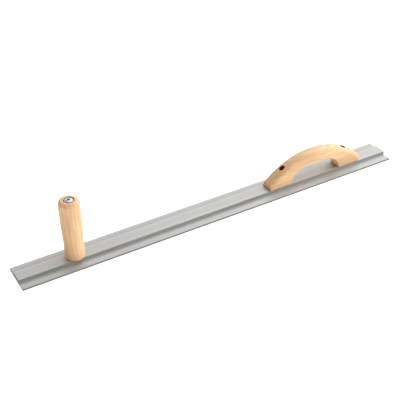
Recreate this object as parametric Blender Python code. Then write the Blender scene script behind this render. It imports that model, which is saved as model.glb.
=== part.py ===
"""Two-handled concrete darby: a long light-alloy blade, an arched wooden loop handle towards
one end and an upright turned knob handle towards the other, each screwed down onto the blade.

The origin is the middle of the blade's flat working face. +X runs along the blade towards the
loop handle, +Y runs across it and +Z points up. Lengths are in metres.
"""

import math

import bmesh
import bpy

# The blade, one extruded length of light alloy
BLADE_LENGTH = 0.9144
BLADE_WIDTH = 0.0762
EDGE_THICKNESS = 0.0048
EDGE_LAND = 0.0085
GROOVE_THICKNESS = 0.0028
GROOVE_FLAT = 0.0040
RIB_WIDTH = 0.0310
RIB_HEIGHT = 0.0111
RIB_CORNER = 0.0005
RIB_FILLET = 0.0010
EDGE_TOP_CORNER = 0.0006
EDGE_WORKING_CORNER = 0.0010

# The arched loop handle, sawn from a board and rounded over
LOOP_CENTRE_X = 0.2620
LOOP_LENGTH = 0.2440
LOOP_WIDTH = 0.0320
LOOP_HEIGHT = 0.0628
LOOP_BACK_RADIUS = 0.1750
LOOP_BACK_SHIFT = 0.0015
LOOP_ROUNDING = 0.0100
LOOP_FOOT_ROUNDING = 0.0030
LOOP_GRIP_ROUNDING = 0.0055
OPENING_WIDTH = 0.1280
OPENING_SHIFT = -0.0005
OPENING_HEIGHT = 0.0340
OPENING_WIDTH_POWER = 3.6
OPENING_HEIGHT_POWER = 1.7
LOOP_SCREW_SPACING = 0.1668

# The upright knob handle, turned from a round bar
KNOB_CENTRE_X = -0.3270
KNOB_HEIGHT = 0.1415
KNOB_BASE_RADIUS = 0.0206
KNOB_FOOT_RADIUS = 0.0210
KNOB_WAIST_RADIUS = 0.0209
KNOB_GRIP_RADIUS = 0.0224
KNOB_FOOT_SHARE = 0.12
KNOB_WAIST_SHARE = 0.28
KNOB_GRIP_SHARE = 0.62
KNOB_TOP_ROUNDING = 0.0085
KNOB_BASE_CHAMFER = 0.0008

# Fasteners and their holes
CONTACT_GAP = 0.0003
KNOB_BOLT_RADIUS = 0.0039
KNOB_BOLT_HEAD_RADIUS = 0.00885
KNOB_BOLT_HEAD_HEIGHT = 0.0046
KNOB_WASHER_RADIUS = 0.0103
KNOB_WASHER_THICKNESS = 0.0016
KNOB_WELL_RADIUS = 0.0111
KNOB_WELL_DEPTH = 0.0050
LOOP_SCREW_RADIUS = 0.0031
LOOP_SCREW_HEAD_RADIUS = 0.00475
LOOP_SCREW_HEAD_HEIGHT = 0.0050
LOOP_WASHER_RADIUS = 0.00595
LOOP_WASHER_THICKNESS = 0.0012
LOOP_WELL_RADIUS = 0.00635
LOOP_WELL_FLOOR = 0.0180
SCREW_HOLE_DEPTH = 0.0085
SCREW_END_DEPTH = 0.0080
SHANK_CLEARANCE = 0.0004

# A screw's details, as shares of its shank radius, its head's radius and its head's height
SHANK_END_CHAMFER_SHARE = 0.25
HEAD_RIM_SHARE = 0.35
RECESS_REACH_SHARE = 0.55
RECESS_DEPTH_SHARE = 0.75
RECESS_HALF_SLOT_SHARE = 0.22
RECESS_TIP_SHARE = 0.45

# Heights that follow from the sizes above
HANDLE_BASE_Z = RIB_HEIGHT + CONTACT_GAP
KNOB_TOP_Z = HANDLE_BASE_Z + KNOB_HEIGHT
KNOB_WASHER_Z = KNOB_TOP_Z - KNOB_WELL_DEPTH + CONTACT_GAP
KNOB_BOLT_SEAT_Z = KNOB_WASHER_Z + KNOB_WASHER_THICKNESS + CONTACT_GAP
LOOP_WASHER_Z = HANDLE_BASE_Z + LOOP_WELL_FLOOR + CONTACT_GAP
LOOP_SCREW_SEAT_Z = LOOP_WASHER_Z + LOOP_WASHER_THICKNESS + CONTACT_GAP
SCREW_END_Z = RIB_HEIGHT - SCREW_END_DEPTH
SCREW_HOLE_FLOOR_Z = RIB_HEIGHT - SCREW_HOLE_DEPTH
LOOP_SCREWS_X = {
    "left": LOOP_CENTRE_X - LOOP_SCREW_SPACING / 2,
    "right": LOOP_CENTRE_X + LOOP_SCREW_SPACING / 2,
}
CUTTER_OVERRUN = 0.0200


def make_material(name, colour, roughness, metallic):
    """A Principled BSDF with one colour, for the plain look of a sub-part."""
    material = bpy.data.materials.new(name)
    material.use_nodes = True
    shader = material.node_tree.nodes["Principled BSDF"]
    shader.inputs["Base Color"].default_value = (*colour, 1.0)
    shader.inputs["Roughness"].default_value = roughness
    shader.inputs["Metallic"].default_value = metallic
    return material


def alloy_material():
    return make_material("extruded_alloy", (0.62, 0.61, 0.59), 0.38, 1.0)


def wood_material():
    return make_material("pale_hardwood", (0.80, 0.55, 0.30), 0.55, 0.0)


def zinc_material():
    return make_material("zinc_plated_steel", (0.60, 0.62, 0.66), 0.28, 1.0)


def arc_points(centre, radius, start_degrees, end_degrees, steps):
    """Points on a circular arc in a plane, both ends included."""
    points = []
    for step in range(steps + 1):
        angle = math.radians(start_degrees + (end_degrees - start_degrees) * step / steps)
        points.append((centre[0] + radius * math.cos(angle), centre[1] + radius * math.sin(angle)))
    return points


def finish_mesh(name, mesh_builder, material):
    """Close, orient and store a bmesh as a named object with its material."""
    bmesh.ops.remove_doubles(mesh_builder, verts=mesh_builder.verts, dist=1e-6)
    bmesh.ops.recalc_face_normals(mesh_builder, faces=mesh_builder.faces)
    mesh = bpy.data.meshes.new(name)
    mesh_builder.to_mesh(mesh)
    mesh_builder.free()
    mesh.shade_smooth()
    mesh.set_sharp_from_angle(angle=math.radians(30))
    if material is not None:
        mesh.materials.append(material)
    piece = bpy.data.objects.new(name, mesh)
    bpy.context.collection.objects.link(piece)
    return piece


def turned_piece(name, outline, centre_x, sides, material):
    """Spin (radius, height) points about the vertical line at centre_x.

    An outline that starts and ends on the axis makes a solid. Any other outline is closed
    into a ring, which leaves a bore down the middle.
    """
    mesh_builder = bmesh.new()
    corners = [mesh_builder.verts.new((radius, 0.0, height)) for radius, height in outline]
    edges = [mesh_builder.edges.new(pair) for pair in zip(corners, corners[1:])]
    if outline[0][0] > 0.0:
        edges.append(mesh_builder.edges.new((corners[-1], corners[0])))
    bmesh.ops.spin(
        mesh_builder,
        geom=corners + edges,
        cent=(0.0, 0.0, 0.0),
        axis=(0.0, 0.0, 1.0),
        angle=math.tau,
        steps=sides,
        use_merge=True,
    )
    bmesh.ops.translate(mesh_builder, verts=mesh_builder.verts, vec=(centre_x, 0.0, 0.0))
    return finish_mesh(name, mesh_builder, material)


def make_cutter(cutter):
    """Mark an object as a tool that only shapes other pieces."""
    cutter.hide_render = True
    cutter.display_type = "WIRE"
    return cutter


def cut(piece, cutter):
    """Take a cutter's volume out of a piece."""
    modifier = piece.modifiers.new(cutter.name, "BOOLEAN")
    modifier.operation = "DIFFERENCE"
    modifier.solver = "EXACT"
    modifier.object = cutter


def stepped_hole(name, centre_x, steps_up):
    """A cutter of stacked round bores, given as (radius, bottom, top) from the lowest up."""
    outline = [(0.0, steps_up[0][1])]
    for radius, bottom, top in steps_up:
        outline.append((radius, bottom))
        outline.append((radius, top))
    outline.append((0.0, steps_up[-1][2]))
    return make_cutter(turned_piece(name, outline, centre_x, 32, None))


def cross_recess(name, centre_x, top_z, reach, depth):
    """A cutter for a cross recess: a plus-shaped plug that narrows towards its tip."""
    half_slot = reach * RECESS_HALF_SLOT_SHARE
    plus = [
        (reach, -half_slot), (reach, half_slot), (half_slot, half_slot), (half_slot, reach),
        (-half_slot, reach), (-half_slot, half_slot), (-reach, half_slot), (-reach, -half_slot),
        (-half_slot, -half_slot), (-half_slot, -reach), (half_slot, -reach), (half_slot, -half_slot),
    ]
    mesh_builder = bmesh.new()
    rings = []
    for scale, height in ((1.0, top_z), (RECESS_TIP_SHARE, top_z - depth)):
        rings.append([mesh_builder.verts.new((centre_x + x * scale, y * scale, height)) for x, y in plus])
    mesh_builder.faces.new(rings[0])
    mesh_builder.faces.new(list(reversed(rings[1])))
    for index in range(len(plus)):
        following = (index + 1) % len(plus)
        mesh_builder.faces.new(
            (rings[0][index], rings[1][index], rings[1][following], rings[0][following])
        )
    return make_cutter(finish_mesh(name, mesh_builder, None))


def blade_half_outline():
    """The blade's section from the middle of its working face out and back to the rib's middle."""
    half_width = BLADE_WIDTH / 2
    half_rib = RIB_WIDTH / 2
    outline = arc_points(
        (half_width - EDGE_WORKING_CORNER, EDGE_WORKING_CORNER), EDGE_WORKING_CORNER, -90, 0, 4
    )
    outline += arc_points(
        (half_width - EDGE_TOP_CORNER, EDGE_THICKNESS - EDGE_TOP_CORNER), EDGE_TOP_CORNER, 0, 90, 3
    )
    slope_outer = half_width - EDGE_LAND
    slope_inner = half_rib + RIB_FILLET + GROOVE_FLAT
    slope_steps = 8
    for step in range(slope_steps + 1):
        share = step / slope_steps
        drop = (1 - math.cos(math.pi * share)) / 2
        across = slope_outer + (slope_inner - slope_outer) * share
        outline.append((across, EDGE_THICKNESS + (GROOVE_THICKNESS - EDGE_THICKNESS) * drop))
    outline += arc_points(
        (half_rib + RIB_FILLET, GROOVE_THICKNESS + RIB_FILLET), RIB_FILLET, 270, 180, 4
    )
    outline += arc_points((half_rib - RIB_CORNER, RIB_HEIGHT - RIB_CORNER), RIB_CORNER, 0, 90, 3)
    return outline


def make_blade(material):
    """The extruded blade with a blind hole in its rib for each of the three screws."""
    half = blade_half_outline()
    outline = half + [(-across, height) for across, height in reversed(half)]
    mesh_builder = bmesh.new()
    end_face = mesh_builder.faces.new(
        [mesh_builder.verts.new((-BLADE_LENGTH / 2, across, height)) for across, height in outline]
    )
    extruded = bmesh.ops.extrude_face_region(mesh_builder, geom=[end_face], use_keep_orig=True)
    far_end = [part for part in extruded["geom"] if isinstance(part, bmesh.types.BMVert)]
    bmesh.ops.translate(mesh_builder, verts=far_end, vec=(BLADE_LENGTH, 0.0, 0.0))
    blade = finish_mesh("blade", mesh_builder, material)
    hole_top = RIB_HEIGHT + CUTTER_OVERRUN
    knob_hole_radius = KNOB_BOLT_RADIUS + SHANK_CLEARANCE
    cut(blade, stepped_hole("cut_blade_knob", KNOB_CENTRE_X,
                            [(knob_hole_radius, SCREW_HOLE_FLOOR_Z, hole_top)]))
    loop_hole_radius = LOOP_SCREW_RADIUS + SHANK_CLEARANCE
    for side, centre_x in LOOP_SCREWS_X.items():
        cut(blade, stepped_hole("cut_blade_loop_" + side, centre_x,
                                [(loop_hole_radius, SCREW_HOLE_FLOOR_Z, hole_top)]))
    return blade


def loop_back_height(offset):
    """Height of the loop handle's arched back above its base, at an offset from its middle."""
    fall = LOOP_BACK_RADIUS - math.sqrt(LOOP_BACK_RADIUS ** 2 - (offset - LOOP_BACK_SHIFT) ** 2)
    return LOOP_HEIGHT - fall


def loop_opening_half():
    """Right half of the finger opening, from the foot's inner toe up to the middle of the grip.

    It is a superellipse, squarer across than up, so the feet stand steep and the top is flat.
    """
    steps = 16
    points = []
    for step in range(steps):
        angle = math.pi / 2 * step / steps
        points.append((
            OPENING_WIDTH / 2 * math.cos(angle) ** (2 / OPENING_WIDTH_POWER),
            OPENING_HEIGHT * math.sin(angle) ** (2 / OPENING_HEIGHT_POWER),
        ))
    return points


def loop_outline():
    """Side view of the loop handle as (offset, height, rounding) corners, right toe first.

    Rounding is how strongly the long edge that starts at a corner is rounded over, 0 to 1. The
    arched back is rounded in full, and the opening less, fading further down to the feet's toes.
    """
    half_length = LOOP_LENGTH / 2
    foot_share = LOOP_FOOT_ROUNDING / LOOP_ROUNDING
    grip_share = LOOP_GRIP_ROUNDING / LOOP_ROUNDING
    back_steps = 40
    outline = [(half_length, 0.0, 0.0)]
    for step in range(back_steps + 1):
        offset = half_length * (1 - 2 * step / back_steps)
        rounding = 1.0 if step < back_steps else 0.0
        outline.append((offset, loop_back_height(offset), rounding))
    outline.append((-half_length, 0.0, 0.0))
    right_half = loop_opening_half()
    opening = [(OPENING_SHIFT - offset, height) for offset, height in right_half]
    opening.append((OPENING_SHIFT, OPENING_HEIGHT))
    opening += [(OPENING_SHIFT + offset, height) for offset, height in reversed(right_half)]
    for start, end in zip(opening, opening[1:]):
        rise = (start[1] + end[1]) / 2 / OPENING_HEIGHT
        outline.append((*start, foot_share + (grip_share - foot_share) * rise))
    outline.append((*opening[-1], 0.0))
    return outline


def make_loop_handle(material):
    """The arched handle, extruded across its width and rounded over along its long edges."""
    outline = loop_outline()
    mesh_builder = bmesh.new()
    weight_layer = mesh_builder.edges.layers.float.new("bevel_weight_edge")
    side_rings = []
    for across in (-LOOP_WIDTH / 2, LOOP_WIDTH / 2):
        side_rings.append([
            mesh_builder.verts.new((LOOP_CENTRE_X + offset, across, HANDLE_BASE_Z + height))
            for offset, height, _ in outline
        ])
    mesh_builder.faces.new(side_rings[0])
    mesh_builder.faces.new(list(reversed(side_rings[1])))
    for index in range(len(outline)):
        following = (index + 1) % len(outline)
        mesh_builder.faces.new((
            side_rings[0][index], side_rings[1][index],
            side_rings[1][following], side_rings[0][following],
        ))
        for ring in side_rings:
            edge = mesh_builder.edges.get((ring[index], ring[following]))
            edge[weight_layer] = outline[index][2]
    handle = finish_mesh("loop_handle", mesh_builder, material)
    rounding = handle.modifiers.new("rounding", "BEVEL")
    rounding.limit_method = "WEIGHT"
    rounding.offset_type = "OFFSET"
    rounding.width = LOOP_ROUNDING
    rounding.segments = 5
    rounding.use_clamp_overlap = False
    for side, centre_x in LOOP_SCREWS_X.items():
        floor_z = HANDLE_BASE_Z + LOOP_WELL_FLOOR
        cut(handle, stepped_hole("cut_loop_" + side, centre_x, [
            (LOOP_SCREW_RADIUS + SHANK_CLEARANCE, HANDLE_BASE_Z - CUTTER_OVERRUN, floor_z),
            (LOOP_WELL_RADIUS, floor_z, HANDLE_BASE_Z + LOOP_HEIGHT + CUTTER_OVERRUN),
        ]))
    return handle


def ease(start, end, share):
    """A smooth change between two sizes."""
    return start + (end - start) * (1 - math.cos(math.pi * share)) / 2


def knob_radius(share):
    """Radius of the turned knob at a share of its height: a slight foot, a waist, a fuller grip."""
    if share < KNOB_FOOT_SHARE:
        swell = math.sin(math.pi / 2 * share / KNOB_FOOT_SHARE)
        return KNOB_BASE_RADIUS + (KNOB_FOOT_RADIUS - KNOB_BASE_RADIUS) * swell
    if share < KNOB_WAIST_SHARE:
        along = (share - KNOB_FOOT_SHARE) / (KNOB_WAIST_SHARE - KNOB_FOOT_SHARE)
        return ease(KNOB_FOOT_RADIUS, KNOB_WAIST_RADIUS, along)
    if share < KNOB_GRIP_SHARE:
        along = (share - KNOB_WAIST_SHARE) / (KNOB_GRIP_SHARE - KNOB_WAIST_SHARE)
        return ease(KNOB_WAIST_RADIUS, KNOB_GRIP_RADIUS, along)
    return KNOB_GRIP_RADIUS


def make_knob_handle(material):
    """The turned knob, bored right through and counterbored at the top for the bolt's head."""
    bore_radius = KNOB_BOLT_RADIUS + SHANK_CLEARANCE
    outline = [(bore_radius, HANDLE_BASE_Z), (KNOB_BASE_RADIUS - KNOB_BASE_CHAMFER, HANDLE_BASE_Z)]
    straight_height = KNOB_HEIGHT - KNOB_TOP_ROUNDING
    side_steps = 16
    for step in range(side_steps + 1):
        height = KNOB_BASE_CHAMFER + (straight_height - KNOB_BASE_CHAMFER) * step / side_steps
        outline.append((knob_radius(height / KNOB_HEIGHT), HANDLE_BASE_Z + height))
    outline += arc_points(
        (KNOB_GRIP_RADIUS - KNOB_TOP_ROUNDING, KNOB_TOP_Z - KNOB_TOP_ROUNDING),
        KNOB_TOP_ROUNDING, 0, 90, 7
    )[1:]
    outline.append((KNOB_WELL_RADIUS, KNOB_TOP_Z))
    outline.append((KNOB_WELL_RADIUS, KNOB_TOP_Z - KNOB_WELL_DEPTH))
    outline.append((bore_radius, KNOB_TOP_Z - KNOB_WELL_DEPTH))
    return turned_piece("knob_handle", outline, KNOB_CENTRE_X, 48, material)


def make_washer(name, centre_x, seat_z, inner_radius, outer_radius, thickness, material):
    """A flat washer that lies on the wood round a screw."""
    outline = [
        (inner_radius, seat_z), (outer_radius, seat_z),
        (outer_radius, seat_z + thickness), (inner_radius, seat_z + thickness),
    ]
    return turned_piece(name, outline, centre_x, 40, material)


def make_screw(name, centre_x, seat_z, shank_radius, head_radius, head_height, material):
    """A machine screw with a domed head and a cross recess, down into the blade's rib."""
    end_chamfer = shank_radius * SHANK_END_CHAMFER_SHARE
    rim_height = head_height * HEAD_RIM_SHARE
    outline = [
        (0.0, SCREW_END_Z),
        (shank_radius - end_chamfer, SCREW_END_Z),
        (shank_radius, SCREW_END_Z + end_chamfer),
        (shank_radius, seat_z),
        (head_radius, seat_z),
        (head_radius, seat_z + rim_height),
    ]
    dome_steps = 6
    for step in range(1, dome_steps + 1):
        angle = math.pi / 2 * step / dome_steps
        outline.append((
            head_radius * math.cos(angle) if step < dome_steps else 0.0,
            seat_z + rim_height + (head_height - rim_height) * math.sin(angle),
        ))
    screw = turned_piece(name, outline, centre_x, 32, material)
    recess_top = seat_z + head_height + CONTACT_GAP
    cut(screw, cross_recess("cut_" + name, centre_x, recess_top,
                            head_radius * RECESS_REACH_SHARE, head_height * RECESS_DEPTH_SHARE))
    return screw


def make_knob_fasteners(material):
    make_washer("knob_washer", KNOB_CENTRE_X, KNOB_WASHER_Z, KNOB_BOLT_RADIUS + SHANK_CLEARANCE,
                KNOB_WASHER_RADIUS, KNOB_WASHER_THICKNESS, material)
    make_screw("knob_bolt", KNOB_CENTRE_X, KNOB_BOLT_SEAT_Z, KNOB_BOLT_RADIUS,
               KNOB_BOLT_HEAD_RADIUS, KNOB_BOLT_HEAD_HEIGHT, material)


def make_loop_fasteners(material):
    for side, centre_x in LOOP_SCREWS_X.items():
        make_washer("loop_washer_" + side, centre_x, LOOP_WASHER_Z,
                    LOOP_SCREW_RADIUS + SHANK_CLEARANCE, LOOP_WASHER_RADIUS,
                    LOOP_WASHER_THICKNESS, material)
        make_screw("loop_screw_" + side, centre_x, LOOP_SCREW_SEAT_Z, LOOP_SCREW_RADIUS,
                   LOOP_SCREW_HEAD_RADIUS, LOOP_SCREW_HEAD_HEIGHT, material)


def make_darby():
    for old_object in list(bpy.data.objects):
        bpy.data.objects.remove(old_object, do_unlink=True)
    alloy = alloy_material()
    wood = wood_material()
    zinc = zinc_material()
    make_blade(alloy)
    make_loop_handle(wood)
    make_knob_handle(wood)
    make_knob_fasteners(zinc)
    make_loop_fasteners(zinc)


make_darby()
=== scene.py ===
# A two-handled concrete darby: a long light-alloy blade with an arched wooden loop handle towards
# one end and an upright turned wooden knob handle towards the other, each screwed to its rib.
import math

import bmesh
import bpy
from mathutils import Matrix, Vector


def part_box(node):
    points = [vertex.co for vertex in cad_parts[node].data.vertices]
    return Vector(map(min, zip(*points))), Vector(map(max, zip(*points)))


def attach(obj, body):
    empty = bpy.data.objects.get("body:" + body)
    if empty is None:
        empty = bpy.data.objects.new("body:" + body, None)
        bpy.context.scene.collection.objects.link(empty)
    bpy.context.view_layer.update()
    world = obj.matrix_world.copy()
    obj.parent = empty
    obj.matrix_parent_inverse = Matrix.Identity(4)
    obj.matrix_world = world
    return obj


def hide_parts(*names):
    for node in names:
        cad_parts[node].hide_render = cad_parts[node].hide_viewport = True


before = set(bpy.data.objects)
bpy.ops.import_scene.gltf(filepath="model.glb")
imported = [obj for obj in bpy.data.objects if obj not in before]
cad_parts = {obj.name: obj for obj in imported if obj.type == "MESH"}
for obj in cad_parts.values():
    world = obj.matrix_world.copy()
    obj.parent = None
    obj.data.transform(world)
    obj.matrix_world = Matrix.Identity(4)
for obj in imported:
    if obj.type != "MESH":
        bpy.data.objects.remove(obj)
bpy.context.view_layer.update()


# ---- Blade --------------------------------------------------------------------------------------
# One length of light alloy, extruded through a die and sawn off square. Its working face is
# flat, its edges are thick, and a shallow groove on each side leads up to the solid rib down its
# middle, which has a blind hole for each of the handles' screws.

EDGE_THICKNESS = 0.0048
EDGE_LAND = 0.0085
GROOVE_THICKNESS = 0.0028
GROOVE_WIDTH = 0.0050
SLOPE_ROUNDING = 0.0280
RIB_WIDTH = 0.0310
RIB_CORNER = 0.0005
RIB_FILLET = 0.0010
EDGE_TOP_CORNER = 0.0006
EDGE_WORKING_CORNER = 0.0010
SAWN_END_BREAK = 0.00025
SAWN_END_ANGLE = math.radians(60)
SECTION_CORNER_STEPS = 6
HOLE_SIDES = 32
SCREW_HOLE_DEPTH = 0.0085
SHANK_CLEARANCE = 0.0004
KNOB_BOLT_RADIUS = 0.0039
LOOP_SCREW_RADIUS = 0.0031
ALLOY_DARK = (0.650, 0.645, 0.625)
ALLOY_PALE = (0.740, 0.735, 0.715)
ALLOY_TARNISH = (0.600, 0.595, 0.575)

blade_low, blade_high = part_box("blade")
rib_top = blade_high.z


def wire(tree, kind, feeds, **settings):
    """Add a node, set its properties, and feed its inputs from sockets or plain values."""
    node = tree.nodes.new(kind)
    for name, value in settings.items():
        setattr(node, name, value)
    for key, source in feeds.items():
        if isinstance(source, bpy.types.NodeSocket):
            tree.links.new(source, node.inputs[key])
        else:
            node.inputs[key].default_value = source
    return node


def calc(tree, operation, *numbers):
    """The result of a Math node on sockets or plain numbers."""
    return wire(tree, "ShaderNodeMath", dict(enumerate(numbers)), operation=operation).outputs[0]


def point(tree, x, y, z):
    """A vector put together from sockets or plain numbers."""
    return wire(tree, "ShaderNodeCombineXYZ", {"X": x, "Y": y, "Z": z}).outputs[0]


def new_shape_tree(name, size_names):
    """A geometry node tree with a named input for each size, and one for the material."""
    tree = bpy.data.node_groups.new(name, "GeometryNodeTree")
    for size_name in size_names:
        tree.interface.new_socket(size_name, in_out="INPUT", socket_type="NodeSocketFloat")
    tree.interface.new_socket("Material", in_out="INPUT", socket_type="NodeSocketMaterial")
    tree.interface.new_socket("Geometry", in_out="OUTPUT", socket_type="NodeSocketGeometry")
    return tree, tree.nodes.new("NodeGroupInput").outputs


def end_shape_tree(tree, geometry, material):
    """Close a tree with real geometry, shaded smooth, in its material."""
    real = wire(tree, "GeometryNodeRealizeInstances", {"Geometry": geometry}).outputs[0]
    smooth = wire(tree, "GeometryNodeSetShadeSmooth", {"Geometry": real}).outputs[0]
    painted = wire(tree, "GeometryNodeSetMaterial", {"Geometry": smooth, "Material": material})
    wire(tree, "NodeGroupOutput", {"Geometry": painted.outputs[0]})


def plain_mesh(piece):
    """Replace a piece's modifiers by the mesh that they make."""
    evaluated = piece.evaluated_get(bpy.context.evaluated_depsgraph_get())
    mesh = bpy.data.meshes.new_from_object(evaluated)
    piece.modifiers.clear()
    piece.data = mesh
    mesh.name = piece.name
    return piece


def grow(name, tree, inputs):
    """An object whose shape comes from a geometry node tree with these inputs."""
    piece = bpy.data.objects.new(name, bpy.data.meshes.new(name))
    bpy.context.collection.objects.link(piece)
    modifier = piece.modifiers.new("shape", "NODES")
    modifier.node_group = tree
    for socket in tree.interface.items_tree:
        if socket.in_out == "INPUT":
            modifier[socket.identifier] = inputs[socket.name]
    return piece


def fillet_profile(tree, corners, steps):
    """A closed profile through (across, up, corner radius) points, with its corners rounded.

    A profile swept along X has its own Y pointing down, so each height is taken negative and the
    corners are taken backwards, which keeps the swept faces outwards.
    """
    index = tree.nodes.new("GeometryNodeInputIndex").outputs[0]
    places = tree.nodes.new("GeometryNodeIndexSwitch")
    places.data_type = "VECTOR"
    roundings = tree.nodes.new("GeometryNodeIndexSwitch")
    roundings.data_type = "FLOAT"
    for switch in (places, roundings):
        tree.links.new(index, switch.inputs["Index"])
        for _ in range(len(corners) - 2):
            switch.index_switch_items.new()
    for number, (across, up, rounding) in enumerate(reversed(corners)):
        place = point(tree, across, calc(tree, "MULTIPLY", up, -1.0), 0.0)
        tree.links.new(place, places.inputs[number + 1])
        if isinstance(rounding, bpy.types.NodeSocket):
            tree.links.new(rounding, roundings.inputs[number + 1])
        else:
            roundings.inputs[number + 1].default_value = rounding
    cloud = wire(tree, "GeometryNodePoints", {
        "Count": len(corners), "Position": places.outputs[0], "Radius": roundings.outputs[0]})
    line = wire(tree, "GeometryNodePointsToCurves", {"Points": cloud.outputs[0]}).outputs[0]
    closed = wire(tree, "GeometryNodeSetSplineCyclic", {"Geometry": line, "Cyclic": True})
    radius = tree.nodes.new("GeometryNodeInputRadius").outputs[0]
    rounded = wire(tree, "GeometryNodeFilletCurve", {
        "Curve": closed.outputs[0], "Radius": radius, "Limit Radius": True}, mode="POLY")
    rounded.inputs["Count"].default_value = steps
    return rounded.outputs[0]


def extruded_blade_tree():
    """The blade's section swept along X, with three blind holes in the rib."""
    tree, size = new_shape_tree("extruded_blade", (
        "Length", "Width", "Edge Thickness", "Edge Land", "Edge Corner", "Working Corner",
        "Groove Thickness", "Groove Width", "Slope Rounding",
        "Rib Width", "Rib Height", "Rib Fillet", "Rib Corner",
        "Hole Depth", "Knob Hole X", "Knob Hole Radius",
        "Left Hole X", "Right Hole X", "Loop Hole Radius"))
    half_width = calc(tree, "MULTIPLY", size["Width"], 0.5)
    half_rib = calc(tree, "MULTIPLY", size["Rib Width"], 0.5)
    land_end = calc(tree, "SUBTRACT", half_width, size["Edge Land"])
    groove_end = calc(tree, "ADD", half_rib, size["Groove Width"])
    right_side = [
        (half_width, 0.0, size["Working Corner"]),
        (half_width, size["Edge Thickness"], size["Edge Corner"]),
        (land_end, size["Edge Thickness"], size["Slope Rounding"]),
        (groove_end, size["Groove Thickness"], size["Slope Rounding"]),
        (half_rib, size["Groove Thickness"], size["Rib Fillet"]),
        (half_rib, size["Rib Height"], size["Rib Corner"]),
    ]
    left_side = [(calc(tree, "MULTIPLY", across, -1.0), up, rounding)
                 for across, up, rounding in reversed(right_side)]
    section = fillet_profile(tree, right_side + left_side, SECTION_CORNER_STEPS)
    half_length = calc(tree, "MULTIPLY", size["Length"], 0.5)
    run = wire(tree, "GeometryNodeCurvePrimitiveLine", {
        "Start": point(tree, calc(tree, "MULTIPLY", half_length, -1.0), 0.0, 0.0),
        "End": point(tree, half_length, 0.0, 0.0)})
    bar = wire(tree, "GeometryNodeCurveToMesh", {
        "Curve": run.outputs[0], "Profile Curve": section, "Fill Caps": True}).outputs[0]
    drilled = wire(tree, "GeometryNodeMeshBoolean", {"Mesh 1": bar},
                   operation="DIFFERENCE", solver="EXACT")
    for centre_name, radius_name in (("Knob Hole X", "Knob Hole Radius"),
                                     ("Left Hole X", "Loop Hole Radius"),
                                     ("Right Hole X", "Loop Hole Radius")):
        drill = wire(tree, "GeometryNodeMeshCylinder", {
            "Vertices": HOLE_SIDES, "Radius": size[radius_name],
            "Depth": calc(tree, "MULTIPLY", size["Hole Depth"], 2.0)})
        placed = wire(tree, "GeometryNodeTransform", {
            "Geometry": drill.outputs[0],
            "Translation": point(tree, size[centre_name], 0.0, size["Rib Height"])})
        tree.links.new(placed.outputs[0], drilled.inputs["Mesh 2"])
    end_shape_tree(tree, drilled.outputs[0], size["Material"])
    return tree


def new_material(name):
    """An empty Principled material, with its tree, its shader and its object coordinates."""
    material = bpy.data.materials.new(name)
    material.use_nodes = True
    tree = material.node_tree
    coordinates = tree.nodes.new("ShaderNodeTexCoord").outputs["Object"]
    return material, tree, tree.nodes["Principled BSDF"], coordinates


def stretched_noise(tree, coordinates, scale, detail, roughness=0.5):
    """Noise whose grain differs along X, Y and Z, as cells per metre."""
    mapped = wire(tree, "ShaderNodeMapping", {"Vector": coordinates, "Scale": scale})
    noise = wire(tree, "ShaderNodeTexNoise", {
        "Vector": mapped.outputs[0], "Scale": 1.0, "Detail": detail, "Roughness": roughness})
    return noise.outputs["Fac"]


def span(tree, value, low, high, to_low, to_high):
    """A value's stretch between low and high, brought to another range and held inside it."""
    return wire(tree, "ShaderNodeMapRange", {
        "Value": value, "From Min": low, "From Max": high,
        "To Min": to_low, "To Max": to_high}).outputs[0]


def blend(tree, share, first, second):
    """A colour between two colours."""
    mix = tree.nodes.new("ShaderNodeMix")
    mix.data_type = "RGBA"
    for socket, source in ((mix.inputs[0], share), (mix.inputs[6], first), (mix.inputs[7], second)):
        if isinstance(source, bpy.types.NodeSocket):
            tree.links.new(source, socket)
        elif isinstance(source, tuple):
            socket.default_value = (*source, 1.0)
        else:
            socket.default_value = source
    return mix.outputs[2]


def drawn_alloy():
    """Mill-finish light alloy: dull pale grey, with die lines drawn along the whole length."""
    material, tree, shader, coordinates = new_material("drawn_light_alloy")
    bands = stretched_noise(tree, coordinates, (0.9, 130.0, 130.0), 2.0)
    lines = stretched_noise(tree, coordinates, (2.0, 900.0, 900.0), 3.0)
    clouds = stretched_noise(tree, coordinates, (9.0, 30.0, 30.0), 3.0)
    scuffs = stretched_noise(tree, coordinates, (60.0, 500.0, 500.0), 4.0, 0.7)
    tone = calc(tree, "ADD", calc(tree, "MULTIPLY", bands, 0.6), calc(tree, "MULTIPLY", lines, 0.4))
    base = blend(tree, span(tree, tone, 0.35, 0.65, 0.0, 1.0), ALLOY_DARK, ALLOY_PALE)
    tarnished = blend(tree, span(tree, clouds, 0.45, 0.75, 0.0, 0.25), base, ALLOY_TARNISH)
    tree.links.new(tarnished, shader.inputs["Base Color"])
    shader.inputs["Metallic"].default_value = 1.0
    along = wire(tree, "ShaderNodeVectorTransform", {"Vector": (1.0, 0.0, 0.0)},
                 vector_type="VECTOR", convert_from="OBJECT", convert_to="WORLD")
    tree.links.new(along.outputs[0], shader.inputs["Tangent"])
    shader.inputs["Anisotropic"].default_value = 0.8
    shader.inputs["Anisotropic Rotation"].default_value = 0.25
    rough = calc(tree, "ADD", span(tree, lines, 0.3, 0.7, 0.60, 0.68),
                 span(tree, scuffs, 0.5, 0.8, 0.0, 0.10))
    tree.links.new(rough, shader.inputs["Roughness"])
    height = calc(tree, "ADD", lines, calc(tree, "MULTIPLY", scuffs, 0.35))
    bump = wire(tree, "ShaderNodeBump", {"Height": height, "Strength": 0.35, "Distance": 0.00006})
    tree.links.new(bump.outputs[0], shader.inputs["Normal"])
    return material


def screw_x(node):
    """Where a screw's axis stands along the blade."""
    low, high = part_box(node)
    return (low.x + high.x) / 2


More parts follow.
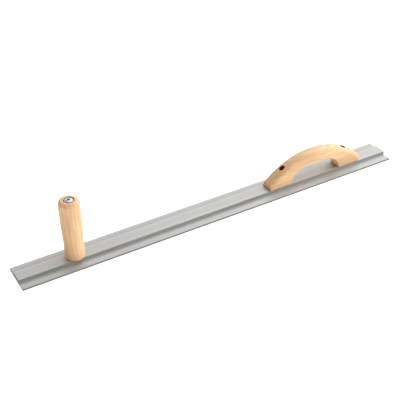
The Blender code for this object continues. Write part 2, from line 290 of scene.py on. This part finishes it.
blade = grow("blade_extrusion", extruded_blade_tree(), {
    "Length": blade_high.x - blade_low.x,
    "Width": blade_high.y - blade_low.y,
    "Edge Thickness": EDGE_THICKNESS,
    "Edge Land": EDGE_LAND,
    "Edge Corner": EDGE_TOP_CORNER,
    "Working Corner": EDGE_WORKING_CORNER,
    "Groove Thickness": GROOVE_THICKNESS,
    "Groove Width": GROOVE_WIDTH,
    "Slope Rounding": SLOPE_ROUNDING,
    "Rib Width": RIB_WIDTH,
    "Rib Height": rib_top,
    "Rib Fillet": RIB_FILLET,
    "Rib Corner": RIB_CORNER,
    "Hole Depth": SCREW_HOLE_DEPTH,
    "Knob Hole X": screw_x("knob_bolt"),
    "Knob Hole Radius": KNOB_BOLT_RADIUS + SHANK_CLEARANCE,
    "Left Hole X": screw_x("loop_screw_left"),
    "Right Hole X": screw_x("loop_screw_right"),
    "Loop Hole Radius": LOOP_SCREW_RADIUS + SHANK_CLEARANCE,
    "Material": drawn_alloy(),
})
sawn = blade.modifiers.new("sawn_end_break", "BEVEL")
sawn.limit_method = "ANGLE"
sawn.angle_limit = SAWN_END_ANGLE
sawn.width = SAWN_END_BREAK
sawn.segments = 2
sawn.use_clamp_overlap = False
flat = blade.modifiers.new("flat_faces", "WEIGHTED_NORMAL")
flat.keep_sharp = True
plain_mesh(blade)
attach(blade, "root")
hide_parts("blade")


# ---- Loop handle --------------------------------------------------------------------------------
# Band-sawn from a board of pale hardwood with its grain along the blade, rounded over on its long
# edges and sanded. A deep counterbore over each foot takes the screw that clamps it to the rib.

LOOP_BACK_RADIUS = 0.1750
LOOP_BACK_SHIFT = 0.0015
LOOP_ROUNDING = 0.0100
LOOP_FOOT_SHARE = 0.30
LOOP_GRIP_SHARE = 0.55
LOOP_ARRIS_BREAK = 0.0006
OPENING_WIDTH = 0.1280
OPENING_SHIFT = -0.0005
OPENING_HEIGHT = 0.0340
OPENING_WIDTH_POWER = 3.6
OPENING_HEIGHT_POWER = 1.7
LOOP_WELL_RADIUS = 0.00635
LOOP_WELL_FLOOR = 0.0180
WELL_MOUTH_BREAK = 0.0005
HOLE_OVERRUN = 0.0200
LOOP_BACK_STEPS = 96
OPENING_STEPS = 80
LOOP_ROUNDING_STEPS = 10
LOOP_ARRIS_ANGLE = math.radians(50)
WELL_SIDES = 48
SHARP_WOOD_DEGREES = 35
LOOP_GRAIN_TURN = (0.0, 0.06, 0.05)
LOOP_PITH_OFFSET = (0.0, 0.030, 0.055)
LOOP_RING_SWAY = 5.0
RINGS_PER_METRE = 130.0
WOOD_HONEY = (0.82, 0.515, 0.262)
WOOD_PALE = (0.92, 0.645, 0.350)
WOOD_ROSY = (0.88, 0.510, 0.318)
WOOD_LATE = (0.60, 0.31, 0.12)
WOOD_SILK = (0.64, 0.38, 0.17)
WOOD_FIBRE = (0.52, 0.29, 0.12)
# Dark browns painted on the walls of the bores as shade.
BORE_PAINTED_SHADE_BROWN = (0.25, 0.115, 0.042)
BORE_PAINTED_SHADE_DARK = (0.11, 0.045, 0.016)

loop_low, loop_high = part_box("loop_handle")
loop_centre_x = (loop_low.x + loop_high.x) / 2
loop_length = loop_high.x - loop_low.x
loop_height = loop_high.z - loop_low.z


def loop_outline():
    """The handle's side view as (offset, height, rounding) corners, right toe first.

    Rounding is how strongly the long edge that starts at a corner is rounded over, 0 to 1. The
    opening is a superellipse, squarer across than up, so its feet stand steep.
    """
    half_length = loop_length / 2
    outline = [(half_length, 0.0, 0.0)]
    for step in range(LOOP_BACK_STEPS + 1):
        offset = half_length * (1 - 2 * step / LOOP_BACK_STEPS)
        fall = LOOP_BACK_RADIUS - math.sqrt(LOOP_BACK_RADIUS ** 2 - (offset - LOOP_BACK_SHIFT) ** 2)
        outline.append((offset, loop_height - fall, 1.0 if step < LOOP_BACK_STEPS else 0.0))
    outline.append((-half_length, 0.0, 0.0))
    opening = []
    for step in range(OPENING_STEPS + 1):
        angle = math.pi * step / OPENING_STEPS
        across = abs(math.cos(angle)) ** (2 / OPENING_WIDTH_POWER)
        up = max(math.sin(angle), 0.0) ** (2 / OPENING_HEIGHT_POWER)
        opening.append((OPENING_SHIFT - math.copysign(OPENING_WIDTH / 2 * across, math.cos(angle)),
                        OPENING_HEIGHT * up))
    for start, end in zip(opening, opening[1:]):
        rise = (start[1] + end[1]) / 2 / OPENING_HEIGHT
        outline.append((*start, LOOP_FOOT_SHARE + (LOOP_GRIP_SHARE - LOOP_FOOT_SHARE) * rise))
    outline.append((*opening[-1], 0.0))
    return outline


def board_sawn_to(name, outline, centre_x, base_z, low_y, high_y):
    """A closed outline given in X and Z, cut out of a board, with its roundings as edge weights."""
    shape = bmesh.new()
    weights = shape.edges.layers.float.new("bevel_weight_edge")
    sides = [[shape.verts.new((centre_x + offset, y, base_z + height)) for offset, height, _ in outline]
             for y in (low_y, high_y)]
    shape.faces.new(sides[0])
    shape.faces.new(list(reversed(sides[1])))
    for index, (_, _, rounding) in enumerate(outline):
        following = (index + 1) % len(outline)
        shape.faces.new((sides[0][index], sides[1][index], sides[1][following], sides[0][following]))
        for ring in sides:
            shape.edges.get((ring[index], ring[following]))[weights] = rounding
    bmesh.ops.recalc_face_normals(shape, faces=shape.faces)
    return mesh_object(name, shape)


def mesh_object(name, shape):
    """Store a bmesh as a smooth-shaded object."""
    mesh = bpy.data.meshes.new(name)
    shape.to_mesh(mesh)
    shape.free()
    mesh.shade_smooth()
    piece = bpy.data.objects.new(name, mesh)
    bpy.context.collection.objects.link(piece)
    return piece


def turn_up(name, outline, centre_x, sides):
    """Turn (radius, height) corners about the upright line at centre_x.

    An outline that starts off the axis is closed into a ring, with a bore down its middle.
    """
    shape = bmesh.new()
    corners = [shape.verts.new((radius, 0.0, height)) for radius, height in outline]
    edges = [shape.edges.new(pair) for pair in zip(corners, corners[1:])]
    if outline[0][0] > 0.0:
        edges.append(shape.edges.new((corners[-1], corners[0])))
    bmesh.ops.spin(shape, geom=corners + edges, cent=(0, 0, 0), axis=(0, 0, 1),
                   angle=math.tau, steps=sides, use_merge=True)
    bmesh.ops.remove_doubles(shape, verts=shape.verts, dist=1e-6)
    bmesh.ops.recalc_face_normals(shape, faces=shape.faces)
    bmesh.ops.translate(shape, verts=shape.verts, vec=(centre_x, 0.0, 0.0))
    return mesh_object(name, shape)


def sawn_hardwood(name, grain_turn, pith_offset, ring_sway):
    """Pale hardwood: thin latewood lines, silky fibres and soft pink and yellow drifts.

    The rings are cylinders about a pith that lies outside the blank and along its grain, so long
    faces show drawn-out lines and figure, and cut ends show arcs.
    """
    material, tree, shader, coordinates = new_material(name)
    grain = wire(tree, "ShaderNodeMapping", {
        "Vector": coordinates, "Location": pith_offset, "Rotation": grain_turn}).outputs[0]
    sway = stretched_noise(tree, grain, (8.0, 26.0, 26.0), 3.0)
    fibre = stretched_noise(tree, grain, (26.0, 1500.0, 1500.0), 3.0, 0.6)
    silk = stretched_noise(tree, grain, (14.0, 260.0, 260.0), 4.0, 0.6)
    drift = stretched_noise(tree, grain, (11.0, 46.0, 46.0), 2.0)
    patch = stretched_noise(tree, grain, (24.0, 75.0, 75.0), 2.0)
    split = wire(tree, "ShaderNodeSeparateXYZ", {"Vector": grain})
    reach = calc(tree, "SQRT", calc(
        tree, "ADD", calc(tree, "POWER", split.outputs["Y"], 2.0),
        calc(tree, "POWER", split.outputs["Z"], 2.0)))
    ring_count = calc(tree, "ADD", calc(tree, "MULTIPLY", reach, RINGS_PER_METRE),
                      calc(tree, "MULTIPLY", sway, ring_sway))
    ring = calc(tree, "PINGPONG", ring_count, 0.5)
    late = calc(tree, "POWER", calc(tree, "MULTIPLY", ring, 2.0), 3.0)
    warm = blend(tree, span(tree, drift, 0.35, 0.65, 0.0, 1.0), WOOD_HONEY, WOOD_PALE)
    rosy = blend(tree, span(tree, patch, 0.42, 0.66, 0.0, 0.70), warm, WOOD_ROSY)
    lined = blend(tree, calc(tree, "MULTIPLY", late, 0.42), rosy, WOOD_LATE)
    silky = blend(tree, span(tree, silk, 0.38, 0.66, 0.0, 0.46), lined, WOOD_SILK)
    fibrous = blend(tree, span(tree, fibre, 0.50, 0.80, 0.0, 0.30), silky, WOOD_FIBRE)
    tree.links.new(fibrous, shader.inputs["Base Color"])
    rough = calc(tree, "ADD", span(tree, fibre, 0.3, 0.7, 0.40, 0.54),
                 calc(tree, "MULTIPLY", late, 0.06))
    tree.links.new(rough, shader.inputs["Roughness"])
    shader.inputs["Specular IOR Level"].default_value = 0.55
    shader.inputs["Coat Weight"].default_value = 0.45
    shader.inputs["Coat Roughness"].default_value = 0.38
    height = calc(tree, "ADD", fibre, calc(tree, "MULTIPLY", late, 0.6))
    bump = wire(tree, "ShaderNodeBump", {"Height": height, "Strength": 0.30, "Distance": 0.00010})
    tree.links.new(bump.outputs[0], shader.inputs["Normal"])
    return material


def shaded_bore_hardwood(name):
    """The wall of a bore: torn grain, painted dark brown as shade."""
    material, tree, shader, coordinates = new_material(name)
    torn = stretched_noise(tree, coordinates, (700.0, 700.0, 160.0), 4.0, 0.7)
    painted_bore_shade = blend(tree, span(tree, torn, 0.3, 0.7, 0.0, 1.0), BORE_PAINTED_SHADE_BROWN, BORE_PAINTED_SHADE_DARK)
    tree.links.new(painted_bore_shade, shader.inputs["Base Color"])
    shader.inputs["Roughness"].default_value = 0.8
    bump = wire(tree, "ShaderNodeBump", {"Height": torn, "Strength": 0.6, "Distance": 0.0002})
    tree.links.new(bump.outputs[0], shader.inputs["Normal"])
    return material


def round_hole(piece, centre_x, steps_up, wall):
    """Bore stacked round steps and give their walls a material.

    The steps are (radius, bottom, top), from the lowest up.
    """
    outline = [(0.0, steps_up[0][1])]
    for radius, bottom, top in steps_up:
        outline.append((radius, bottom))
        outline.append((radius, top))
    outline.append((0.0, steps_up[-1][2]))
    drill = turn_up("drill", outline, centre_x, WELL_SIDES)
    drill.data.materials.append(wall)
    bore = piece.modifiers.new("bore", "BOOLEAN")
    bore.operation = "DIFFERENCE"
    bore.solver = "EXACT"
    bore.material_mode = "TRANSFER"
    bore.object = drill
    plain_mesh(piece)
    bpy.data.objects.remove(drill, do_unlink=True)


def break_mouths(piece, width):
    """Round the edges where a bored wall meets the sanded outside."""
    shape = bmesh.new()
    shape.from_mesh(piece.data)
    mouths = [edge for edge in shape.edges if len(edge.link_faces) == 2
              and edge.link_faces[0].material_index != edge.link_faces[1].material_index]
    bmesh.ops.bevel(shape, geom=mouths, offset=width, segments=2, profile=0.5, affect="EDGES",
                    clamp_overlap=True, material=0)
    shape.to_mesh(piece.data)
    shape.free()


def even_shading(piece, sharp_degrees):
    """Keep flat faces flat and real corners crisp under smooth shading."""
    piece.data.set_sharp_from_angle(angle=math.radians(sharp_degrees))
    flat = piece.modifiers.new("flat_faces", "WEIGHTED_NORMAL")
    flat.keep_sharp = True
    plain_mesh(piece)


loop_handle = board_sawn_to("loop_handle_wood", loop_outline(), loop_centre_x, loop_low.z,
                            loop_low.y, loop_high.y)
rounding = loop_handle.modifiers.new("rounding_over", "BEVEL")
rounding.limit_method = "WEIGHT"
rounding.width = LOOP_ROUNDING
rounding.segments = LOOP_ROUNDING_STEPS
rounding.use_clamp_overlap = False
arris = loop_handle.modifiers.new("broken_arris", "BEVEL")
arris.limit_method = "ANGLE"
arris.angle_limit = LOOP_ARRIS_ANGLE
arris.width = LOOP_ARRIS_BREAK
arris.segments = 2
arris.use_clamp_overlap = False
plain_mesh(loop_handle)
loop_handle.data.materials.append(sawn_hardwood(
    "loop_handle_hardwood", LOOP_GRAIN_TURN, LOOP_PITH_OFFSET, LOOP_RING_SWAY))
# The bores' walls take a material of dark browns painted as shade.
shaded_bore_wall = shaded_bore_hardwood("shaded_bore_hardwood")
for screw in ("loop_screw_left", "loop_screw_right"):
    well_floor = loop_low.z + LOOP_WELL_FLOOR
    round_hole(loop_handle, screw_x(screw), [
        (LOOP_SCREW_RADIUS + SHANK_CLEARANCE, loop_low.z - HOLE_OVERRUN, well_floor),
        (LOOP_WELL_RADIUS, well_floor, loop_high.z + HOLE_OVERRUN)], shaded_bore_wall)
break_mouths(loop_handle, WELL_MOUTH_BREAK)
even_shading(loop_handle, SHARP_WOOD_DEGREES)
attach(loop_handle, "root")
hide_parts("loop_handle")


# ---- Knob handle --------------------------------------------------------------------------------
# Turned on a lathe from a square of the same pale wood, grain upright, with a slightly fuller grip
# and a rounded top. It is bored right through, with a shallow well in its top for washer and head.

KNOB_BASE_RADIUS = 0.0206
KNOB_FOOT_RADIUS = 0.0210
KNOB_WAIST_RADIUS = 0.0209
KNOB_FOOT_SHARE = 0.12
KNOB_WAIST_SHARE = 0.28
KNOB_GRIP_SHARE = 0.62
KNOB_TOP_ROUNDING = 0.0085
KNOB_BASE_CHAMFER = 0.0008
KNOB_WELL_RADIUS = 0.0111
KNOB_WELL_DEPTH = 0.0050
KNOB_SIDE_STEPS = 60
KNOB_TOP_STEPS = 14
KNOB_SIDES = 96
KNOB_GRAIN_TURN = (0.0, math.radians(90), 0.0)
KNOB_PITH_OFFSET = (0.0, 0.047, 0.027)
KNOB_RING_SWAY = 1.6
WELL_WALL_MARGIN = 0.0001

knob_low, knob_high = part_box("knob_handle")
knob_centre_x = (knob_low.x + knob_high.x) / 2
knob_height = knob_high.z - knob_low.z
knob_grip_radius = (knob_high.y - knob_low.y) / 2


def arc(centre_radius, centre_height, radius, start_degrees, end_degrees, steps):
    """Points (radius, height) on a circular arc, both ends included."""
    turns = [math.radians(start_degrees + (end_degrees - start_degrees) * step / steps)
             for step in range(steps + 1)]
    return [(centre_radius + radius * math.cos(turn), centre_height + radius * math.sin(turn))
            for turn in turns]


def ease(start, end, share):
    """A smooth change between two sizes."""
    return start + (end - start) * (1 - math.cos(math.pi * share)) / 2


def knob_radius(share):
    """The knob's radius at a share of its height: a slight foot, a waist, a fuller grip."""
    if share < KNOB_FOOT_SHARE:
        swell = math.sin(math.pi / 2 * share / KNOB_FOOT_SHARE)
        return KNOB_BASE_RADIUS + (KNOB_FOOT_RADIUS - KNOB_BASE_RADIUS) * swell
    if share < KNOB_WAIST_SHARE:
        along = (share - KNOB_FOOT_SHARE) / (KNOB_WAIST_SHARE - KNOB_FOOT_SHARE)
        return ease(KNOB_FOOT_RADIUS, KNOB_WAIST_RADIUS, along)
    if share < KNOB_GRIP_SHARE:
        along = (share - KNOB_WAIST_SHARE) / (KNOB_GRIP_SHARE - KNOB_WAIST_SHARE)
        return ease(KNOB_WAIST_RADIUS, knob_grip_radius, along)
    return knob_grip_radius


bolt_bore = KNOB_BOLT_RADIUS + SHANK_CLEARANCE
straight = knob_height - KNOB_TOP_ROUNDING
knob_outline = [(bolt_bore, knob_low.z), (KNOB_BASE_RADIUS - KNOB_BASE_CHAMFER, knob_low.z)]
for step in range(KNOB_SIDE_STEPS + 1):
    rise = KNOB_BASE_CHAMFER + (straight - KNOB_BASE_CHAMFER) * step / KNOB_SIDE_STEPS
    knob_outline.append((knob_radius(rise / knob_height), knob_low.z + rise))
knob_outline += arc(knob_grip_radius - KNOB_TOP_ROUNDING, knob_high.z - KNOB_TOP_ROUNDING,
                    KNOB_TOP_ROUNDING, 0, 90, KNOB_TOP_STEPS)[1:]
knob_outline += arc(KNOB_WELL_RADIUS + WELL_MOUTH_BREAK, knob_high.z - WELL_MOUTH_BREAK,
                    WELL_MOUTH_BREAK, 90, 180, 4)
knob_outline.append((KNOB_WELL_RADIUS, knob_high.z - KNOB_WELL_DEPTH))
knob_outline.append((bolt_bore, knob_high.z - KNOB_WELL_DEPTH))
knob_handle = turn_up("knob_handle_wood", knob_outline, knob_centre_x, KNOB_SIDES)
knob_handle.data.materials.append(sawn_hardwood(
    "knob_handle_hardwood", KNOB_GRAIN_TURN, KNOB_PITH_OFFSET, KNOB_RING_SWAY))
knob_handle.data.materials.append(shaded_bore_wall)
# Faces inside the well's radius, the well's floor and the bolt's bore, take the bore walls' painted
# shade.
for face in knob_handle.data.polygons:
    out = math.hypot(face.center.x - knob_centre_x, face.center.y)
    if out < KNOB_WELL_RADIUS - WELL_WALL_MARGIN:
        face.material_index = 1
even_shading(knob_handle, SHARP_WOOD_DEGREES)
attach(knob_handle, "root")
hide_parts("knob_handle")


# ---- Screws and washers -------------------------------------------------------------------------
# Zinc-plated steel machine screws, cold-headed with a dome and a cross recess, the long one down
# the knob's middle and two short ones at the bottom of the loop handle's wells. Each bears on a
# stamped flat washer and its thread runs into the rib.

BOLT_SIZES = {
    "Shank Radius": KNOB_BOLT_RADIUS,
    "Thread Length": 0.0300, "Thread Pitch": 0.0014, "Thread Depth": 0.0008,
    "Head Radius": 0.00885, "Head Height": 0.0045, "Rim Height": 0.0014,
    "Recess Reach": 0.0085, "Recess Depth": 0.0038, "Turn": math.radians(28),
}
SCREW_SIZES = {
    "Shank Radius": LOOP_SCREW_RADIUS,
    "Thread Length": 0.0180, "Thread Pitch": 0.00127, "Thread Depth": 0.0007,
    "Head Radius": 0.00475, "Head Height": 0.0049, "Rim Height": 0.0016,
    "Recess Reach": 0.0036, "Recess Depth": 0.0032, "Turn": math.radians(10),
}
SEAT_GAP = 0.0003
HEAD_SIDES = 48
HEAD_RINGS = 24
EQUATOR_MARGIN = 0.01
SHANK_SIDES = 32
THREAD_ROWS = 220
THREAD_FLANK_SLOPE = 2.3
THREAD_FADE_START = 0.90
THREAD_FADE_END = 0.99
TIP_SHARE = 0.05
TIP_RADIUS_SHARE = 0.72
WING_WIDTH_SHARE = 0.46
WING_MOUTH_SHARE = 0.74
WING_TAPER = 0.52
# Painted shade in a cross recess starts this far below the head's skin, is full this far down, and
# keeps within this share of the head's radius.
RECESS_SHADE_START = 0.0001
RECESS_SHADE_FULL = 0.0008
RECESS_SHADE_SHARE = 0.8
WASHER_SIDES = 64
WASHER_ROUNDING_SHARE = 0.4
# The colour of the painted shade inside a cross recess.
RECESS_PAINTED_SHADE = (0.035, 0.042, 0.065)
BRIGHT_ZINC = (0.72, 0.75, 0.80)
DULL_ZINC = (0.50, 0.51, 0.53)
CLOUDED_SHARE = 0.82


def machine_screw_tree():
    """A domed head with a tapered cross recess on a shank whose lower end is threaded."""
    tree, size = new_shape_tree("machine_screw", (
        "Axis X", "Seat Height", "Shank Radius", "Shank Length", "Thread Length", "Thread Pitch",
        "Thread Depth", "Head Radius", "Head Height", "Rim Height", "Recess Reach", "Recess Depth",
        "Turn"))
    place = wire(tree, "ShaderNodeSeparateXYZ", {
        "Vector": tree.nodes.new("GeometryNodeInputPosition").outputs[0]}).outputs

    ball = wire(tree, "GeometryNodeMeshUVSphere", {
        "Segments": HEAD_SIDES, "Rings": HEAD_RINGS, "Radius": 1.0})
    dome_rise = calc(tree, "SUBTRACT", size["Head Height"], size["Rim Height"])
    dome = calc(tree, "ADD", size["Rim Height"], calc(tree, "MULTIPLY", place["Z"], dome_rise))
    above = calc(tree, "GREATER_THAN", place["Z"], -EQUATOR_MARGIN)
    head = wire(tree, "GeometryNodeSetPosition", {
        "Geometry": ball.outputs[0],
        "Position": point(tree, calc(tree, "MULTIPLY", place["X"], size["Head Radius"]),
                          calc(tree, "MULTIPLY", place["Y"], size["Head Radius"]),
                          calc(tree, "MULTIPLY", above, dome))}).outputs[0]

    rod = wire(tree, "GeometryNodeMeshCylinder", {
        "Vertices": SHANK_SIDES, "Side Segments": THREAD_ROWS, "Radius": 1.0, "Depth": 1.0})
    last_row = (THREAD_ROWS - 0.5) / THREAD_ROWS
    rise = calc(tree, "ADD", place["Z"], 0.5)
    tip = calc(tree, "MULTIPLY", size["Shank Length"], -1.0)
    in_thread = calc(tree, "ADD", tip, calc(tree, "MULTIPLY", rise, size["Thread Length"]))
    inside_head = calc(tree, "MULTIPLY", size["Rim Height"], 0.5)
    is_last = calc(tree, "GREATER_THAN", rise, last_row)
    height = calc(tree, "ADD", calc(tree, "MULTIPLY", is_last, inside_head),
                  calc(tree, "MULTIPLY", calc(tree, "SUBTRACT", 1.0, is_last), in_thread))
    turn = calc(tree, "DIVIDE", calc(tree, "ARCTAN2", place["Y"], place["X"]), math.tau)
    wave = calc(tree, "PINGPONG", calc(
        tree, "SUBTRACT", calc(tree, "DIVIDE", in_thread, size["Thread Pitch"]), turn), 0.5)
    flank = calc(tree, "MINIMUM", calc(tree, "MULTIPLY", wave, THREAD_FLANK_SLOPE), 1.0)
    fade = span(tree, rise, THREAD_FADE_START, THREAD_FADE_END, 1.0, 0.0)
    groove = calc(tree, "MULTIPLY", calc(tree, "MULTIPLY", size["Thread Depth"], fade),
                  calc(tree, "SUBTRACT", 1.0, flank))
    tip_taper = span(tree, rise, 0.0, TIP_SHARE, TIP_RADIUS_SHARE, 1.0)
    radius = calc(tree, "MULTIPLY", calc(tree, "SUBTRACT", size["Shank Radius"], groove), tip_taper)
    shank = wire(tree, "GeometryNodeSetPosition", {
        "Geometry": rod.outputs[0],
        "Position": point(tree, calc(tree, "MULTIPLY", place["X"], radius),
                          calc(tree, "MULTIPLY", place["Y"], radius), height)}).outputs[0]

    whole = wire(tree, "GeometryNodeMeshBoolean", {}, operation="UNION", solver="EXACT")
    for half in (head, shank):
        tree.links.new(half, whole.inputs["Mesh 2"])

    driven = wire(tree, "GeometryNodeMeshBoolean", {"Mesh 1": whole.outputs[0]},
                  operation="DIFFERENCE", solver="EXACT")
    slot = calc(tree, "MULTIPLY", size["Recess Reach"], WING_WIDTH_SHARE)
    long_side = calc(tree, "MULTIPLY", size["Recess Reach"], 2.0)
    deep = calc(tree, "MULTIPLY", size["Recess Depth"], 2.0)
    taper = calc(tree, "ADD", WING_MOUTH_SHARE, calc(
        tree, "MULTIPLY", calc(tree, "DIVIDE", place["Z"], size["Recess Depth"]), WING_TAPER))
    tapered = point(tree, calc(tree, "MULTIPLY", place["X"], taper),
                    calc(tree, "MULTIPLY", place["Y"], taper), place["Z"])
    for width, depth in ((long_side, slot), (slot, long_side)):
        blank = wire(tree, "GeometryNodeMeshCube", {"Size": point(tree, width, depth, deep)})
        wing = wire(tree, "GeometryNodeSetPosition", {
            "Geometry": blank.outputs[0], "Position": tapered})
        placed = wire(tree, "GeometryNodeTransform", {
            "Geometry": wing.outputs[0], "Translation": point(tree, 0.0, 0.0, size["Head Height"])})
        tree.links.new(placed.outputs[0], driven.inputs["Mesh 2"])

    # Store a recess attribute that grows from 0 at the dome's skin to 1 a little below it, inside the
    # cross recess; the zinc paints shade into the recess with it.
    out = calc(tree, "SQRT", calc(tree, "ADD", calc(tree, "POWER", place["X"], 2.0),
                                  calc(tree, "POWER", place["Y"], 2.0)))
    share_out = calc(tree, "MINIMUM", calc(tree, "DIVIDE", out, size["Head Radius"]), 1.0)
    bulge = calc(tree, "SQRT", calc(tree, "SUBTRACT", 1.0, calc(tree, "POWER", share_out, 2.0)))
    skin = calc(tree, "ADD", size["Rim Height"], calc(tree, "MULTIPLY", bulge, dome_rise))
    sunk = span(tree, calc(tree, "SUBTRACT", skin, place["Z"]),
                RECESS_SHADE_START, RECESS_SHADE_FULL, 0.0, 1.0)
    in_head = calc(tree, "MULTIPLY", calc(tree, "GREATER_THAN", place["Z"], 0.0),
                   calc(tree, "LESS_THAN", share_out, RECESS_SHADE_SHARE))
    shaded = wire(tree, "GeometryNodeStoreNamedAttribute", {
        "Geometry": driven.outputs[0], "Name": "recess",
        "Value": calc(tree, "MULTIPLY", sunk, in_head)}, data_type="FLOAT", domain="POINT")

    turned = wire(tree, "GeometryNodeTransform", {
        "Geometry": shaded.outputs[0],
        "Translation": point(tree, size["Axis X"], 0.0, size["Seat Height"]),
        "Rotation": point(tree, 0.0, 0.0, size["Turn"])})
    end_shape_tree(tree, turned.outputs[0], size["Material"])
    return tree


def zinc_plate(name, tint, roughness):
    """Zinc plate: cool, a little cloudy, with painted shade darkening it where it lines a cross recess.
    """
    material, tree, shader, coordinates = new_material(name)
    cloud = stretched_noise(tree, coordinates, (420.0, 420.0, 420.0), 3.0)
    speck = stretched_noise(tree, coordinates, (2600.0, 2600.0, 2600.0), 2.0)
    # The recess attribute blends painted shade into the plate's colour inside the cross recess.
    recess = wire(tree, "ShaderNodeAttribute", {}, attribute_name="recess").outputs["Fac"]
    clouded = tuple(channel * CLOUDED_SHARE for channel in tint)
    plate = blend(tree, span(tree, cloud, 0.35, 0.7, 0.0, 1.0), tint, clouded)
    tree.links.new(blend(tree, recess, plate, RECESS_PAINTED_SHADE), shader.inputs["Base Color"])
    rough = calc(tree, "ADD", span(tree, cloud, 0.3, 0.7, roughness, roughness + 0.12),
                 calc(tree, "MULTIPLY", recess, 0.25))
    tree.links.new(rough, shader.inputs["Roughness"])
    shader.inputs["Metallic"].default_value = 1.0
    bump = wire(tree, "ShaderNodeBump", {"Height": speck, "Strength": 0.15, "Distance": 0.00005})
    tree.links.new(bump.outputs[0], shader.inputs["Normal"])
    return material


def flat_washer(name, node, bore_radius):
    """A stamped washer: its upper edges are drawn round and its lower edges are crisp."""
    low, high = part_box(node)
    outer = (high.y - low.y) / 2
    edge = (high.z - low.z) * WASHER_ROUNDING_SHARE
    outline = [(bore_radius, low.z), (outer, low.z)]
    outline += arc(outer - edge, high.z - edge, edge, 0, 90, 5)
    outline += arc(bore_radius + edge / 2, high.z - edge / 2, edge / 2, 90, 180, 3)
    return turn_up(name, outline, (low.x + high.x) / 2, WASHER_SIDES)


screw_shape = machine_screw_tree()
zinc = zinc_plate("bright_zinc", BRIGHT_ZINC, 0.20)
zinc_washer = zinc_plate("dull_zinc", DULL_ZINC, 0.34)
for screw, washer, sizes in (("knob_bolt", "knob_washer", BOLT_SIZES),
                             ("loop_screw_left", "loop_washer_left", SCREW_SIZES),
                             ("loop_screw_right", "loop_washer_right", SCREW_SIZES)):
    screw_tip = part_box(screw)[0].z
    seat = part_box(washer)[1].z + SEAT_GAP
    piece = grow(screw + "_steel", screw_shape, {
        **sizes, "Axis X": screw_x(screw), "Seat Height": seat,
        "Shank Length": seat - screw_tip, "Material": zinc})
    plain_mesh(piece)
    even_shading(piece, 30)
    ring = flat_washer(washer + "_steel", washer, sizes["Shank Radius"] + SHANK_CLEARANCE)
    ring.data.materials.append(zinc_washer)
    even_shading(ring, 40)
    for steel, node in ((piece, screw), (ring, washer)):
        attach(steel, "root")
        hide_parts(node)


# ---- Stage --------------------------------------------------------------------------------------
# A pale floor that gives off a little light of its own, a sky that is brighter behind and to the
# right, a soft box on the right and a weaker one in front. The floor and both soft boxes are
# kept out of reflections, so bright metal mirrors the sky and the tool itself.

FLOOR_SIZE = 60.0
FLOOR_DROP = 0.0002
FLOOR_PALE = (0.90, 0.90, 0.90, 1.0)
FLOOR_GLOW = 0.75
WHITE = (1.0, 1.0, 1.0, 1.0)
bpy.ops.mesh.primitive_plane_add(size=FLOOR_SIZE, location=(0.0, 0.0, -FLOOR_DROP))
floor = bpy.context.object
floor.name = "floor"
floor_paint, _, floor_shader, _ = new_material("pale_floor")
floor_shader.inputs["Base Color"].default_value = FLOOR_PALE
floor_shader.inputs["Roughness"].default_value = 0.9
floor_shader.inputs["Emission Color"].default_value = WHITE
floor_shader.inputs["Emission Strength"].default_value = FLOOR_GLOW
floor.data.materials.append(floor_paint)
floor.visible_glossy = False

SKY_LEFT = 0.62
SKY_RIGHT = 2.40
SKY_BELOW = 0.30
SKY_FRONT_SHARE = 0.38
SKY_FAR_LEFT_SHARE = 0.60
world = bpy.data.worlds.new("soft_studio")
bpy.context.scene.world = world
world.use_nodes = True
sky = world.node_tree
way = wire(sky, "ShaderNodeSeparateXYZ", {
    "Vector": sky.nodes.new("ShaderNodeTexCoord").outputs["Generated"]}).outputs
brighter_right = span(sky, way["X"], -0.2, 1.0, SKY_LEFT, SKY_RIGHT)
dimmer_front = span(sky, way["Y"], -0.6, 0.1, SKY_FRONT_SHARE, 1.0)
dimmer_left = span(sky, way["X"], -0.9, 0.1, SKY_FAR_LEFT_SHARE, 1.0)
upper_sky = calc(sky, "MULTIPLY", calc(sky, "MULTIPLY", brighter_right, dimmer_front), dimmer_left)
above_horizon = span(sky, way["Z"], -0.05, 0.10, 0.0, 1.0)
sky_light = calc(sky, "ADD", calc(sky, "MULTIPLY", above_horizon, upper_sky),
                 calc(sky, "MULTIPLY", calc(sky, "SUBTRACT", 1.0, above_horizon), SKY_BELOW))
sky.links.new(sky_light, sky.nodes["Background"].inputs["Strength"])
sky.nodes["Background"].inputs["Color"].default_value = WHITE

LIT_POINT = (0.0, 0.0, 0.05)


def soft_light(name, place, width, height, power):
    """A rectangular soft box that faces the tool and isn't seen in reflections."""
    lamp = bpy.data.lights.new(name, "AREA")
    lamp.shape = "RECTANGLE"
    lamp.size = width
    lamp.size_y = height
    lamp.energy = power
    holder = bpy.data.objects.new(name, lamp)
    bpy.context.collection.objects.link(holder)
    holder.location = place
    holder.rotation_euler = (Vector(LIT_POINT) - Vector(place)).to_track_quat("-Z", "Y").to_euler()
    holder.visible_glossy = False


soft_light("right_softbox", place=(2.1, -0.6, 1.2), width=1.4, height=1.4, power=34.0)
soft_light("front_fill", place=(-0.7, -2.2, 0.9), width=1.4, height=1.0, power=6.0)

camera_data = bpy.data.cameras.new("camera")
camera_data.lens = 86.07
camera_data.sensor_width = 36.0
camera = bpy.data.objects.new("camera", camera_data)
bpy.context.collection.objects.link(camera)
camera.location = (-0.82133, -1.46929, 1.26540)
camera.rotation_euler = [math.radians(turn) for turn in (53.729, 1.177, -29.117)]
bpy.context.scene.camera = camera
bpy.context.scene.view_settings.view_transform = "Standard"
